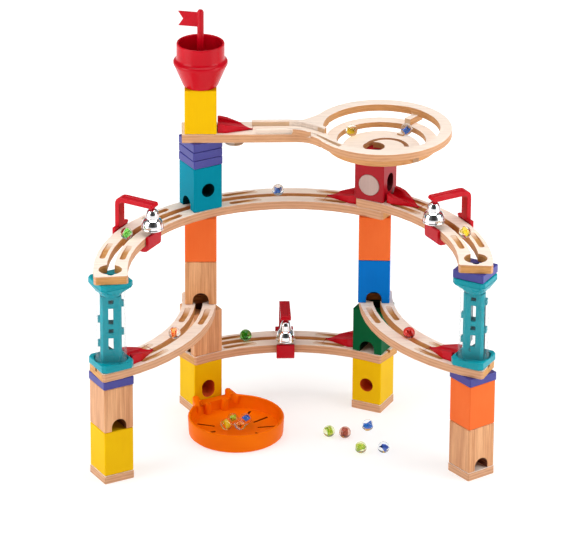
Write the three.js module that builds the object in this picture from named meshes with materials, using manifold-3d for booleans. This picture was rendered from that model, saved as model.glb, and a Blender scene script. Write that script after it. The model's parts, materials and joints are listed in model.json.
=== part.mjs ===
// Wooden marble run: four block towers on an arc, joined by curved plywood rails, a stepped spiral,
// two clear drop towers, three bells, a funnel with a flag and a catch tray.
// Millimetres, +Z up. The rails lie on one circle whose centre is (0, 0); the towers stand on its back half.
import * as THREE from "three";
import { mergeVertices } from "three/addons/utils/BufferGeometryUtils.js";
import Module from "manifold-3d";

const wasm = await Module();
wasm.setup();

// ---------------------------------------------------------------- driving dimensions
const GAP = 0.3; // clearance between pieces that touch
const BLOCK = 42; // side of a square block
const HIGH = 62; // height of a block
const PLATE = 11.8; // height of a rail, spacer or base plate
const RING = 234.5; // radius of the rail circle
const INSET = 2; // how far the two back towers stand inside their places on the circle
const RAIL_WIDE = 44.4;
const SLOT = 9.6; // width of the slot that a marble rolls on
const MARBLE = 8; // marble radius
const BORE = 10; // radius of the marble channel in a block
const END_HOLE = 15; // radius of the drop hole at the end of a rail
const POCKET = { wide: 7.4, deep: 4.5, shallow: 0.8, off: 13.2 };
const YAW_A = 27.4;
const YAW_B = 27.5;
const YAW_C = -27.5;
const YAW_C_MID = -4;
const YAW_D_LOW = 35;
const YAW_D_TOP = -30;
const BASE = 43.2; // side of a base plate
const SPACER = 44; // side of an indigo spacer
const DROP_TOWER = {
  flange: 46, thick: 11, topThick: 8, skirt: 6, tubeR: 20.3, wall: 1.6, coreWide: 28, coreDeep: 15,
};
const SPIRAL = {
  x: 7, y: 2, rim: 92.5, rimWide: 15.5, rimThick: 10, ringOut: 73.5, ringIn: 58.5, disc: 51, thick: 8,
};
const RING_FALL = 17.5; // from the rim of the spiral down to its second ring
const DISC_FALL = 3 * PLATE - GAP - SPIRAL.thick; // and down to its middle disc
const BELL = { r: 15, tall: 28.5, lift: 8.8, inward: 24, wall: 1.4 };
const CLIP = { skin: 4, below: 9, lip: 4 };
const FUNNEL_EXIT = 9.5; // offset of the funnel's drop hole from its axis
const TRAY = { r: 64, tall: 26, wall: 3.4, floor: 4, aside: 2.5 };

const radians = THREE.MathUtils.degToRad;
const level = (blocks, plates) => blocks * HIGH + plates * PLATE;
const halfRoot3 = Math.sin(radians(60));

// ---------------------------------------------------------------- colours
const paint = (name, color, roughness = 0.55, metalness = 0) =>
  new THREE.MeshStandardMaterial({ name, color, roughness, metalness });
const glassy = (name, color, opacity) =>
  new THREE.MeshStandardMaterial({ name, color, roughness: 0.1, transparent: true, opacity });
const finishes = {
  plywood: paint("plywood", 0xe6cfae, 0.6),
  wood: paint("wood", 0xcf9c5f, 0.55),
  yellow: paint("yellow", 0xeabc00),
  orange: paint("orange", 0xe8662c),
  blue: paint("blue", 0x0a6cbe),
  green: paint("green", 0x07713a),
  teal: paint("teal", 0x0791ab),
  indigo: paint("indigo", 0x53499f),
  red: paint("red", 0xc8142d),
  redPlastic: paint("red_plastic", 0xd3122b, 0.35),
  tealPlastic: paint("teal_plastic", 0x0897a6, 0.35),
  orangePlastic: paint("orange_plastic", 0xe9580f, 0.4),
  clear: glassy("clear", 0xeef4f6, 0.3),
  chrome: paint("chrome", 0xd5d5d5, 0.15, 1),
};

// ---------------------------------------------------------------- solids
function solidOf(geometry) {
  const bare = (geometry.index ? geometry.toNonIndexed() : geometry).clone();
  bare.deleteAttribute("normal");
  bare.deleteAttribute("uv");
  const merged = mergeVertices(bare, 1e-4);
  return new wasm.Manifold(new wasm.Mesh({
    numProp: 3,
    vertProperties: new Float32Array(merged.attributes.position.array),
    triVerts: new Uint32Array(merged.index.array),
  }));
}

function geometryOf(solid) {
  const { vertProperties, triVerts, numProp } = solid.getMesh();
  const points = [];
  for (let i = 0; i < vertProperties.length; i += numProp) {
    points.push(vertProperties[i], vertProperties[i + 1], vertProperties[i + 2]);
  }
  const geometry = new THREE.BufferGeometry();
  geometry.setAttribute("position", new THREE.Float32BufferAttribute(points, 3));
  geometry.setIndex([...triVerts]);
  geometry.computeVertexNormals();
  return geometry;
}

const cut = (body, ...tools) => tools.reduce((left, tool) => left.subtract(tool), body);
const join = (body, ...more) => more.reduce((sum, next) => sum.add(next), body);

function extrude(shape, z0, z1, bevel = 0, curveSegments = 8) {
  const options = { depth: z1 - z0 - 2 * bevel, bevelEnabled: bevel > 0, curveSegments };
  Object.assign(options, { bevelThickness: bevel, bevelSize: bevel, bevelOffset: -bevel, bevelSegments: 1 });
  return solidOf(new THREE.ExtrudeGeometry(shape, options).translate(0, 0, z0 + bevel));
}

const shapeOf = (pairs) => new THREE.Shape(pairs.map(([x, y]) => new THREE.Vector2(x, y)));

function squareShape(wide, deep, corner) {
  const [x, y] = [wide / 2, deep / 2];
  const outline = [[x - corner, -y], [x, -y + corner], [x, y - corner], [x - corner, y]];
  return shapeOf([...outline, ...outline.map(([px, py]) => [-px, -py])]);
}

// An upright prism with chamfered corners and edges, standing on z = z0.
const slab = (wide, deep, z0, z1, corner = 1, bevel = 0.8) =>
  extrude(squareShape(wide, deep, corner), z0, z1, bevel);

function box(x0, x1, y0, y1, z0, z1) {
  const geometry = new THREE.BoxGeometry(x1 - x0, y1 - y0, z1 - z0);
  return solidOf(geometry.translate((x0 + x1) / 2, (y0 + y1) / 2, (z0 + z1) / 2));
}

// A round bar of the given radius from one point to another.
function bar(radius, from, to, sides = 20) {
  const start = new THREE.Vector3(...from);
  const along = new THREE.Vector3(...to).sub(start);
  const geometry = new THREE.CylinderGeometry(radius, radius, along.length(), sides);
  geometry.translate(0, along.length() / 2, 0);
  const turn = new THREE.Quaternion().setFromUnitVectors(new THREE.Vector3(0, 1, 0), along.clone().normalize());
  return solidOf(geometry.applyQuaternion(turn).translate(...from));
}

// A body of revolution about Z from [radius, z] pairs.
function turned(profile, sides = 32) {
  const points = profile.map(([r, z]) => new THREE.Vector2(r, z));
  if (THREE.ShapeUtils.area(points) < 0) points.reverse();
  const geometry = new THREE.LatheGeometry(points, sides).rotateX(Math.PI / 2);
  return solidOf(geometry);
}

// ---------------------------------------------------------------- blocks
// A marble enters a block's bore from above and leaves at one of its faces. Faces are named by local axis:
// "front" is -Y, "left" is -X and "right" is +X.
const FACES = { front: [0, -1], left: [-1, 0], right: [1, 0] };

// A tunnel with a round top and a flat floor. It starts behind the bore and runs out through a face.
const ARCH = { r: 10.5, high: 16.5 };
function arch(face) {
  const [dx, dy] = FACES[face];
  const reach = BLOCK / 2 + 2;
  const middle = ARCH.high - ARCH.r;
  const ends = [[-dx * BORE, -dy * BORE], [dx * reach, dy * reach]];
  const round = bar(ARCH.r, [...ends[0], middle], [...ends[1], middle], 18);
  const [wx, wy] = [Math.abs(dy) * ARCH.r, Math.abs(dx) * ARCH.r];
  const [x0, x1] = ends.map(([x]) => x).sort((a, b) => a - b);
  const [y0, y1] = ends.map(([, y]) => y).sort((a, b) => a - b);
  return round.add(box(x0 - wx, x1 + wx, y0 - wy, y1 + wy, -2, middle));
}

// A round side hole, and one whose floor falls outwards and so opens lower down.
const SIDE_HOLE = { r: 9.5, z: 26 };
function levelHole(face, z = SIDE_HOLE.z) {
  const [dx, dy] = FACES[face];
  return bar(SIDE_HOLE.r, [0, 0, z], [dx * BLOCK, dy * BLOCK, z], 18);
}
function sideHole(face, startX = 0) {
  const [dx, dy] = FACES[face];
  const reach = BLOCK / 2 + 4;
  const falling = bar(SIDE_HOLE.r, [startX, 0, SIDE_HOLE.z + 2], [dx * reach, dy * reach, SIDE_HOLE.z - 7], 18);
  return falling.add(levelHole(face));
}

// An upright channel from height z out through the top.
const bore = (z, x = 0) => bar(BORE, [x, 0, z], [x, 0, HIGH + 2], 18);

const plainBlock = () => slab(BLOCK, BLOCK, 0, HIGH - GAP);
const archBlock = (...faces) => cut(plainBlock(), ...faces.map(arch));
const plate = (side, corner = 1.2) => slab(side, side, 0, PLATE - GAP, corner);

// ---------------------------------------------------------------- rails
// Everything on a rail is laid out by angle about the rail's arc centre.
const onArc = (radius, angle) =>
  new THREE.Vector2(radius * Math.cos(radians(angle)), radius * Math.sin(radians(angle)));
const arcStep = 6; // degrees between the points of a long arc

function arcPoints(radius, from, to, step = arcStep) {
  const count = Math.max(2, Math.ceil(Math.abs(to - from) / step));
  return Array.from({ length: count + 1 }, (_, i) => onArc(radius, from + ((to - from) * i) / count));
}

// The angle in degrees that a length covers on the middle of a rail.
const alongArc = (length) => THREE.MathUtils.radToDeg(length / RING);

// A curved strip with round ends, centred on `radius`, from one angle to another.
function curvedStrip(radius, from, to, wide) {
  const half = wide / 2;
  const cap = (angle, side) => {
    const centre = onArc(radius, angle);
    const out = new THREE.Vector2(Math.cos(radians(angle)), Math.sin(radians(angle)));
    const along = new THREE.Vector2(-out.y, out.x).multiplyScalar(side);
    return [45, 90, 135].map((part) => centre.clone()
      .addScaledVector(out, half * Math.cos(radians(part)))
      .addScaledVector(along, half * Math.sin(radians(part))));
  };
  const outer = arcPoints(radius + half, from, to);
  const inner = arcPoints(radius - half, to, from);
  return new THREE.Shape([...outer, ...cap(to, 1), ...inner, ...cap(from, -1).reverse()]);
}

// A pocket that flanks the slot. Its floor rises from the angle `deep` to the angle `shallow`.
function pocket(radius, deep, shallow, top) {
  const track = curvedStrip(radius, Math.min(deep, shallow), Math.max(deep, shallow), POCKET.wide);
  const middle = (deep + shallow) / 2;
  const half = radians(Math.abs(deep - shallow) / 2) * radius;
  const rise = [[-half, top - POCKET.deep], [half, top - POCKET.shallow], [half + 9, top - POCKET.shallow]];
  const under = shapeOf([...rise, [half + 9, -1], [-half, -1]]);
  const floor = solidOf(new THREE.ExtrudeGeometry(under, { depth: 20, bevelEnabled: false })
    .rotateX(Math.PI / 2).translate(0, 10, 0));
  const at = onArc(radius, middle);
  const heading = middle + Math.sign(shallow - deep) * 90;
  return extrude(track, top - POCKET.deep, PLATE)
    .subtract(floor.rotate([0, 0, heading]).translate([at.x, at.y, 0]));
}

// One rail. `ends` says what is at the low and the high angle: "hole" (drop hole), "plain" or "notch".
// `pockets` are pairs of a tower's angle and the distances from it at which the pockets beside the slot are
// deep and shallow; a negative distance runs towards lower angles.
function rail({ from, to, ends, pockets }) {
  const extra = alongArc(RAIL_WIDE / 2);
  const [low, high] = [from - extra, to + extra];
  const inner = RING - RAIL_WIDE / 2;
  const outer = RING + RAIL_WIDE / 2;
  const clip = alongArc(2.6); // small corner chamfer
  const outline = new THREE.Shape([
    onArc(outer - 2.6, low), ...arcPoints(outer, low + clip, high - clip), onArc(outer - 2.6, high),
    onArc(inner + 2.6, high), ...arcPoints(inner, high - clip, low + clip), onArc(inner + 2.6, low),
  ]);
  const top = PLATE - GAP;
  let body = extrude(outline, 0, top);
  const slotEnd = (kind, angle, sign) => (kind === "hole" ? angle : angle + sign * alongArc(BLOCK / 2 + 3));
  const slot = curvedStrip(RING, slotEnd(ends[0], from, 1), slotEnd(ends[1], to, -1), SLOT);
  body = body.subtract(extrude(slot, -1, PLATE));
  [[ends[0], from, -1], [ends[1], to, 1]].forEach(([kind, angle, sign]) => {
    const centre = onArc(RING, angle);
    if (kind === "hole") {
      const ahead = angle + sign * alongArc(13.5);
      const notch = curvedStrip(RING, Math.min(angle, ahead), Math.max(angle, ahead), SLOT);
      const hole = bar(END_HOLE, [centre.x, centre.y, -1], [centre.x, centre.y, PLATE], 28);
      body = cut(body, hole, extrude(notch, top - 5, PLATE));
    }
    if (kind === "notch") {
      const [near, far] = [angle + sign * alongArc(17), angle + sign * alongArc(27)];
      const groove = curvedStrip(RING, Math.min(near, far), Math.max(near, far), 5);
      body = body.subtract(extrude(groove, top - 4, PLATE));
    }
  });
  for (const [station, deep, shallow] of pockets) {
    for (const side of [-1, 1]) {
      const [start, end] = [deep, shallow].map((length) => station + alongArc(length));
      body = body.subtract(pocket(RING + side * POCKET.off, start, end, top));
    }
  }
  return body;
}

// ---------------------------------------------------------------- ramp
// A chute that takes a marble from a block's opening down to the rail. Local +X points along the rail,
// the flat back stands against the block and the point lies on the rail. `skew` is the angle from +X to
// the normal of the block's face.
const RAMP = { long: 46, wide: 30, high: 12.5 };
function ramp(skew) {
  const { long } = RAMP;
  const half = RAMP.wide / 2;
  const back = half * Math.tan(radians(skew));
  const plan = shapeOf([[back, -half], [12, -half], [long, -1.4], [long, 1.4], [12, half], [-back, half]]);
  const tip = long + 1;
  const side = shapeOf([[-9, -1], [tip, -1], [tip, 0.9], [26, 7.4], [3, RAMP.high], [-9, RAMP.high]]);
  const wedge = solidOf(new THREE.ExtrudeGeometry(side, { depth: RAMP.wide + 2, bevelEnabled: false })
    .rotateX(Math.PI / 2).translate(0, half + 1, 0));
  const trough = bar(8.6, [-9, 0, 13.6], [long + 2, 0, 8.4], 24);
  return extrude(plan, 0, RAMP.high).intersect(wedge).subtract(trough);
}

// ---------------------------------------------------------------- drop towers
function dropFlange(wide, z0, z1) {
  return slab(wide, wide, z0, z1, 5, 1.2);
}

// The lower flange carries the core: two posts joined by crossbars that turn the falling marble about.
// `exit` is the direction in which the marble leaves, through the core, the tube and then a ramp.
const dropExit = (exit) => bar(8.8, [0, 0, 20.5], [30, 0, 20.5], 20).rotate([0, 0, exit]);
function dropBase(yaw, exit) {
  const { flange, thick, tubeR, coreWide, coreDeep } = DROP_TOWER;
  const recess = bar(tubeR + 2.2, [0, 0, thick - 5], [0, 0, thick + 2], 32);
  const plateBody = dropFlange(flange, 0, thick).subtract(recess);
  const coreTop = SKIRT_LOW - 10;
  let core = slab(coreWide, coreDeep, 2, coreTop, 3.5, 0);
  const windows = [[25, 41], [48.5, 54], [61, 83], [90, 95]];
  for (const [z0, z1] of windows) core = core.subtract(box(-3.2, 3.2, -coreDeep, coreDeep, z0, z1));
  const teeth = [[-1, 62], [1, 84], [1, 44], [-1, 28]].map(([side, z]) => {
    const edge = coreWide / 2;
    return box(side < 0 ? -edge - 3 : edge - 1, side < 0 ? -edge + 1 : edge + 3, -3.5, 3.5, z, z + 8);
  });
  const turnedCore = join(core, ...teeth).rotate([0, 0, yaw]);
  return plateBody.add(turnedCore).subtract(dropExit(exit));
}

// The upper flange tapers below to the tube, and a neck inside the tube guides the marble.
const DROP_TOP = 2 * HIGH - GAP;
const SKIRT_LOW = DROP_TOP - DROP_TOWER.topThick - DROP_TOWER.skirt;
function dropTop() {
  const { flange, topThick, skirt, tubeR, wall } = DROP_TOWER;
  const square = dropFlange(flange, DROP_TOP - topThick, DROP_TOP);
  const taperTop = slab(flange, flange, SKIRT_LOW + skirt, SKIRT_LOW + skirt + 1, 5, 0);
  const taper = wasm.Manifold.hull([taperTop, bar(tubeR + 0.8, [0, 0, SKIRT_LOW], [0, 0, SKIRT_LOW + 1], 32)]);
  const neckR = tubeR - wall - 0.6;
  const [low, high] = [SKIRT_LOW - 8, SKIRT_LOW + 2];
  const neck = turned([[0, low], [14, low], [neckR - 0.6, low + 5], [neckR, high], [0, high]], 24);
  const hole = bar(BORE + 1.5, [0, 0, low - 1], [0, 0, DROP_TOP + 2], 24);
  return cut(join(square, taper, neck), hole);
}

function dropTube(exit) {
  const { thick, tubeR, wall } = DROP_TOWER;
  const [z0, z1] = [thick - 5 + GAP, SKIRT_LOW - GAP];
  const inner = tubeR - wall;
  return turned([[inner, z0], [tubeR, z0], [tubeR, z1], [inner, z1], [inner, z0]], 32).subtract(dropExit(exit));
}

// ---------------------------------------------------------------- spiral
// The outer ring, an inner ring and a middle disc lie at three levels. The rings and the entry are one glued
// piece, and the disc is another. z = 0 is the top of the rim, and the origin is on the axis of the tower
// that carries the disc.
const sector = (radius, from, to, z0, z1) => {
  const reach = radius * 1.6;
  const outline = new THREE.Shape([new THREE.Vector2(0, 0), ...arcPoints(reach, from, to, 20)]);
  return extrude(outline, z0, z1).translate([SPIRAL.x, SPIRAL.y, 0]);
};

function flatRing(outer, inner, top, thick, sides) {
  const low = top - thick;
  const edge = 0.8;
  const section = [
    [inner, low], [outer, low], [outer, top - edge], [outer - edge, top],
    [inner + edge, top], [inner, top - edge], [inner, low],
  ];
  return turned(section, sides).translate([SPIRAL.x, SPIRAL.y, 0]);
}

function entryShape() {
  const half = RAIL_WIDE / 2;
  const farEnd = -(RING + half - 1.5);
  const shape = new THREE.Shape();
  shape.moveTo(farEnd, -half);
  shape.lineTo(-104, -half);
  shape.bezierCurveTo(-92, -half, -84, -28, -75.2, -40.3);
  shape.lineTo(-50, -26);
  shape.lineTo(-50, 30);
  shape.lineTo(-73.8, 46.9);
  shape.bezierCurveTo(-88, 32, -100, half, -118, half);
  shape.lineTo(farEnd, half);
  return shape;
}

// A fence along the entry plate: straight from `start` to `bend`, then curving to `stop`.
function fence(start, bend, stop, wide) {
  const lean = new THREE.Vector2(bend[0] + 22, bend[1]);
  const curve = new THREE.QuadraticBezierCurve(new THREE.Vector2(...bend), lean, new THREE.Vector2(...stop));
  const line = [new THREE.Vector2(...start), ...curve.getPoints(6)];
  const tangents = [new THREE.Vector2(1, 0), ...Array.from({ length: 7 }, (_, i) => curve.getTangent(i / 6))];
  const side = (sign) => line.map((p, i) => new THREE.Vector2(
    p.x - (sign * tangents[i].y * wide) / 2, p.y + (sign * tangents[i].x * wide) / 2,
  ));
  const tip = line.at(-1).clone().addScaledVector(tangents.at(-1), wide / 2);
  const shape = new THREE.Shape([...side(-1), tip, ...side(1).reverse()]);
  return extrude(shape, -1, 7.2);
}

function spiralTrack() {
  const { x, y, rim, rimWide, rimThick, ringOut, ringIn, disc, thick } = SPIRAL;
  const rimInner = rim - rimWide;
  const rimRing = flatRing(rim, rimInner, 0, rimThick, 48);
  const ringTwo = flatRing(ringOut, ringIn, -RING_FALL, thick, 40);
  const [discTop, discLow] = [-DISC_FALL, -DISC_FALL - thick];
  // sloping bridge on the entry side, from the rim down to the edge of the disc
  const slope = [[disc - 8, discTop - 0.2], [ringIn, discTop + 3], [rimInner + 3, -0.2]];
  const under = [[rimInner + 3, -rimThick], [ringIn, discLow + 3], [disc - 8, discLow + 0.2]];
  const bridge = turned([...slope, ...under, slope[0]], 40).translate([x, y, 0])
    .intersect(sector(rim, 181, 213, -60, 20))
    .subtract(bar(disc + GAP, [x, y, discLow - 5], [x, y, discTop + 5], 48));
  const supports = [52, -62].map((angle) => {
    const lower = box(disc - 9, ringOut - 6, -4.5, 4.5, discTop + GAP, 1 - RING_FALL - thick);
    const upper = box(ringOut - 14, rim - 5, -4.5, 4.5, -RING_FALL - 0.6, 1 - rimThick);
    return lower.add(upper).rotate([0, 0, angle]).translate([x, y, 0]);
  });
  const entry = extrude(entryShape(), -(PLATE - GAP), 0, 0.6)
    .subtract(bar(rimInner, [x, y, -30], [x, y, 10], 48));
  const boss = bar(12.5, [-RING + 48, -9, -PLATE - 4.6], [-RING + 48, -9, -PLATE + 2], 20);
  const backFence = fence([-163, 9], [-114, 9], [-68, -17], 5);
  const frontFence = fence([-158, -18.6], [-120, -18.6], [-89, -29.5], 5);
  const track = join(rimRing, ringTwo, bridge, ...supports, entry, boss, backFence, frontFence);
  // start of the outer slot, between the fences' ends and the rim
  const startLine = new THREE.CubicBezierCurve(
    new THREE.Vector2(-93, -13), new THREE.Vector2(-82, -15),
    new THREE.Vector2(-72, -38), new THREE.Vector2(-50, -61),
  );
  const start = startLine.getPoints(8);
  const startShape = new THREE.Shape([
    ...start.map((p, i) => new THREE.Vector2(p.x - 0.25 * i, p.y - 0.3 * i)),
    ...start.map((p, i) => new THREE.Vector2(p.x + 0.5 + 0.25 * i, p.y + 0.5 + 0.3 * i)).reverse(),
  ]);
  return track.subtract(extrude(startShape, -9.5, 12));
}

// The last turn of the slot runs into the drop hole in the disc.
function spiralDisc() {
  const { x, y, disc, thick } = SPIRAL;
  const [discTop, discLow] = [-DISC_FALL, -DISC_FALL - thick];
  const section = [[0, discLow], [disc, discLow], [disc, discTop - 1], [disc - 1, discTop], [0, discTop]];
  const middle = turned(section, 36).translate([x, y, 0]);
  const edge = (radius, a0, a1) => arcPoints(radius, a0, a1, 10).map((p) => p.add(new THREE.Vector2(14, -1)));
  const lastTurn = new THREE.Shape([...edge(29, -2, 162), ...edge(23, 162, -2)]);
  const eye = bar(END_HOLE - 0.6, [-3, 0, discLow - 1], [-3, 0, discTop + 2], 32);
  return cut(middle, extrude(lastTurn, discLow - 1, discTop + 1), eye);
}

// ---------------------------------------------------------------- bells
// Local +X points outwards from the rail circle's centre and x = 0 is the middle of the rail; z = 0 is the
// top of the rail.
function bellClip(wide) {
  const half = RAIL_WIDE / 2 + GAP + 1;
  const { skin, below, lip } = CLIP;
  const side = wide / 2;
  const bottom = -PLATE - below;
  const outline = new THREE.Shape();
  outline.moveTo(-half - skin, lip * 0.4);
  outline.lineTo(-half - skin, bottom + 7);
  outline.quadraticCurveTo(-half - skin, bottom, -half + 6, bottom);
  outline.lineTo(half - 6, bottom + 3);
  outline.quadraticCurveTo(half + skin, bottom + 3, half + skin, bottom + 10);
  outline.lineTo(half + skin, lip);
  outline.lineTo(half - 1, lip);
  outline.lineTo(half - 1, 1.2);
  outline.lineTo(half, GAP);
  outline.lineTo(half, -PLATE);
  outline.lineTo(-half, -PLATE);
  outline.lineTo(-half, lip * 0.4);
  const flat = { bevelEnabled: false, curveSegments: 5 };
  const wrap = solidOf(new THREE.ExtrudeGeometry(outline, { depth: wide, ...flat })
    .rotateX(Math.PI / 2).translate(0, side, 0));
  // post with a rounded elbow and a bar over the rail
  const post = half - 1;
  const thick = 6.6;
  const high = BELL.lift + BELL.tall + 7;
  const low = high - thick;
  const tip = -BELL.inward - 3;
  const arm = new THREE.Shape();
  arm.moveTo(post, 0.8);
  arm.lineTo(post + thick, 0.8);
  arm.lineTo(post + thick, high - 11);
  arm.quadraticCurveTo(post + thick, high, post - 5, high);
  arm.lineTo(tip, high);
  arm.quadraticCurveTo(tip - 4.5, high - 3, tip, low);
  arm.lineTo(post - 5, low);
  arm.quadraticCurveTo(post, low, post, low - 5);
  const armBody = solidOf(new THREE.ExtrudeGeometry(arm, { depth: 14, ...flat })
    .rotateX(Math.PI / 2).translate(0, 7, 0));
  const groove = box(tip + 1, post - 3, -3, 3, high - 1.4, high + 2);
  const lowGroove = box(post + thick - 1.4, post + thick + 2, -3, 3, 6, high - 12);
  const pegLow = BELL.lift + BELL.tall - 0.5;
  const peg = bar(3.2, [-BELL.inward, 0, pegLow], [-BELL.inward, 0, low + 1], 12);
  return cut(join(wrap, armBody, peg), groove, lowGroove);
}

// A two-stage bell, hollow and open below, with its origin at the point that it hangs from.
function bell(girth) {
  const { r, tall, wall } = BELL;
  const outer = [
    [0, 0], [4.6, -0.6], [7.2, -2.8], [8.5, -7], [9.2, -13], [12.2, -16.2], [14.2, -21.5], [r, -27], [r, -tall],
  ];
  const inner = [[r - wall, -tall], [12.9, -22.2], [10.6, -17.6], [7.6, -13.6], [6.8, -6], [0, -3]];
  return turned([...outer, ...inner], 20).scale([girth, girth, 1]);
}

// ---------------------------------------------------------------- funnel, flag and tray
// The marble leaves the funnel beside the post that holds the flag.
function funnel() {
  const base = 22.6;
  const outer = [
    [0, 0], [base, 0], [base + 0.6, 1], [34.6, 29], [35.6, 30.4], [35.6, 34], [33, 36.2],
    [31.4, 37.6], [31.4, 58.6],
  ];
  const inner = [[29.6, 59.4], [28.4, 58.6], [28.4, 36.6], [12, 17], [BORE, 12], [BORE, 6], [0, 6]];
  const body = turned([...outer, ...inner], 28);
  const exit = bar(8.6, [FUNNEL_EXIT, 0, -1], [FUNNEL_EXIT, 0, 20], 16);
  // a central post carries the flagpole; three webs hold it
  const post = cut(bar(5.6, [0, 0, 2], [0, 0, 30], 16), bar(3.1, [0, 0, 8], [0, 0, 32], 16));
  const webs = [60, 180, 300].map((angle) => box(3.6, 24, -1.1, 1.1, 4, 24).rotate([0, 0, angle]));
  const outside = turned([[22, 0], [60, 0], [60, 60], [36, 60], [22, 20], [22, 0]], 28);
  return join(body.subtract(exit), post, ...webs.map((web) => web.subtract(outside)));
}

const POLE_BASE = 8.6; // above the funnel's underside
const POLE_TALL = 96;
function flag() {
  const poleTip = [[4.4, POLE_TALL - 3], [3, POLE_TALL], [0, POLE_TALL]];
  const pole = turned([[0, 0], [2.8, 0], [2.8, 22], [4.4, 24], ...poleTip], 16);
  const drop = POLE_TALL - 3.5; // height of the cloth's top edge
  const cloth = shapeOf([[2, drop - 20], [-27, drop - 20], [-20.5, drop - 10], [-27, drop], [2, drop]]);
  const leaf = solidOf(new THREE.ExtrudeGeometry(cloth, { depth: 2.4, bevelEnabled: false })
    .rotateX(Math.PI / 2).translate(-2.5, 1.2, 0));
  return pole.add(leaf);
}

// The tray is a round dish with a neck that reaches back to the tower; local +Y points to the tower.
function tray() {
  const { r, tall, wall, floor } = TRAY;
  const dish = turned([
    [0, 0], [r - 3.4, 0], [r - 1.2, 2], [r, tall - 2], [r - 1.2, tall], [r - wall, tall - 0.6],
    [r - wall - 0.6, tall - 8], [r - wall - 3, floor + 4], [24, floor + 2.4], [21, floor], [0, floor],
  ], 36);
  const neckHalf = 22;
  const neckEnd = r + 7;
  const neck = cut(
    box(-neckHalf - 2.6, neckHalf + 2.6, r - 12, neckEnd, 0, tall + 2),
    box(-neckHalf, neckHalf, r - 20, neckEnd + 5, tall - 5, tall + 10),
  );
  const mouth = neck.subtract(bar(r - wall - 0.6, [0, 0, floor + 2.4], [0, 0, 60], 36));
  const horns = [-1, 1].map((side) => wasm.Manifold.hull([
    slab(8, 9, tall - 12, tall + 4, 2.4, 1).translate([side * (neckHalf + 2.6), neckEnd - 4.8, 0]),
    slab(7, 6, tall - 12, tall - 1, 2.4, 1).translate([side * (neckHalf + 8), neckEnd - 19, 0]),
  ]));
  const opened = cut(dish, box(-neckHalf, neckHalf, r - 16, r + 4, tall - 5, tall + 10));
  const bumps = [-1, 1].map((side) => turned([[0, 6], [5.4, 6], [4.2, 22], [0, 25]], 12)
    .translate([side * 13, r - 10, 0]));
  const grooves = Array.from({ length: 9 }, (_, i) => {
    const angle = 140 + i * 32.5;
    return box(29, 52, -1.5, 1.5, floor - 1, 24).rotate([0, 0, angle]);
  });
  return cut(join(opened, mouth, ...horns, ...bumps), ...grooves);
}

// ---------------------------------------------------------------- assembly
const run = new THREE.Group();

function add(parent, name, solid, finish, z = 0, yaw = 0, x = 0, y = 0) {
  const mesh = new THREE.Mesh(geometryOf(solid), finish);
  mesh.name = name;
  mesh.position.set(x, y, z);
  mesh.rotation.z = radians(yaw);
  parent.add(mesh);
  return mesh;
}

function tower(x, y) {
  const group = new THREE.Group();
  group.position.set(x, y, 0);
  run.add(group);
  return group;
}

const towers = {
  a: tower(-RING, 0),
  b: tower(-RING / 2 + INSET, RING * halfRoot3),
  c: tower(RING / 2 - INSET, RING * halfRoot3),
  d: tower(RING, 0),
};

function buildDropTower(group, letter, z, yaw, coreYaw, exit) {
  add(group, `${letter}_drop_base`, dropBase(coreYaw - yaw, exit), finishes.tealPlastic, z, yaw);
  add(group, `${letter}_drop_tube`, dropTube(exit), finishes.clear, z, yaw);
  add(group, `${letter}_drop_top`, dropTop(), finishes.tealPlastic, z, yaw);
}

// Front left tower
add(towers.a, "a_base_plate", plate(BASE), finishes.plywood, level(0, 0), YAW_A);
add(towers.a, "a_yellow_block", plainBlock(), finishes.yellow, level(0, 1), YAW_A);
add(towers.a, "a_wood_block", archBlock("front"), finishes.wood, level(1, 1), YAW_A);
add(towers.a, "a_indigo_spacer", plate(SPACER), finishes.indigo, level(2, 1), YAW_A);
buildDropTower(towers.a, "a", level(2, 3), YAW_A, 2, 6);

// Back left tower
add(towers.b, "b_base_plate", plate(BASE), finishes.plywood, level(0, 0), YAW_B);
const catchBlock = cut(plainBlock(), sideHole("front"), bore(SIDE_HOLE.z));
add(towers.b, "b_yellow_block", catchBlock, finishes.yellow, level(0, 1), YAW_B);
const woodBlock = archBlock("left", "right").subtract(bore(-2));
add(towers.b, "b_wood_block_lower", woodBlock, finishes.wood, level(1, 2), YAW_B);
add(towers.b, "b_wood_block_upper", archBlock("front"), finishes.wood, level(2, 3), -1);
add(towers.b, "b_orange_block", plainBlock(), finishes.orange, level(3, 3), -1);
const tealBlock = archBlock("left", "right").subtract(levelHole("front", SIDE_HOLE.z + 2.5));
add(towers.b, "b_teal_block", tealBlock, finishes.teal, level(4, 4), YAW_B);
[0.6, -0.8, 0.3].forEach((twist, i) => {
  const spacer = plate(SPACER - 0.8);
  add(towers.b, `b_indigo_spacer_${i + 1}`, spacer, finishes.indigo, level(5, 4 + i), YAW_B + twist);
});
const topBlock = cut(plainBlock(), bore(SIDE_HOLE.z, FUNNEL_EXIT), sideHole("right", FUNNEL_EXIT - 2));
add(towers.b, "b_yellow_block_top", topBlock, finishes.yellow, level(5, 8), -1);
add(towers.b, "funnel", funnel(), finishes.redPlastic, level(6, 8));
add(towers.b, "flag", flag(), finishes.redPlastic, level(6, 8) + POLE_BASE, -13);

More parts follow.
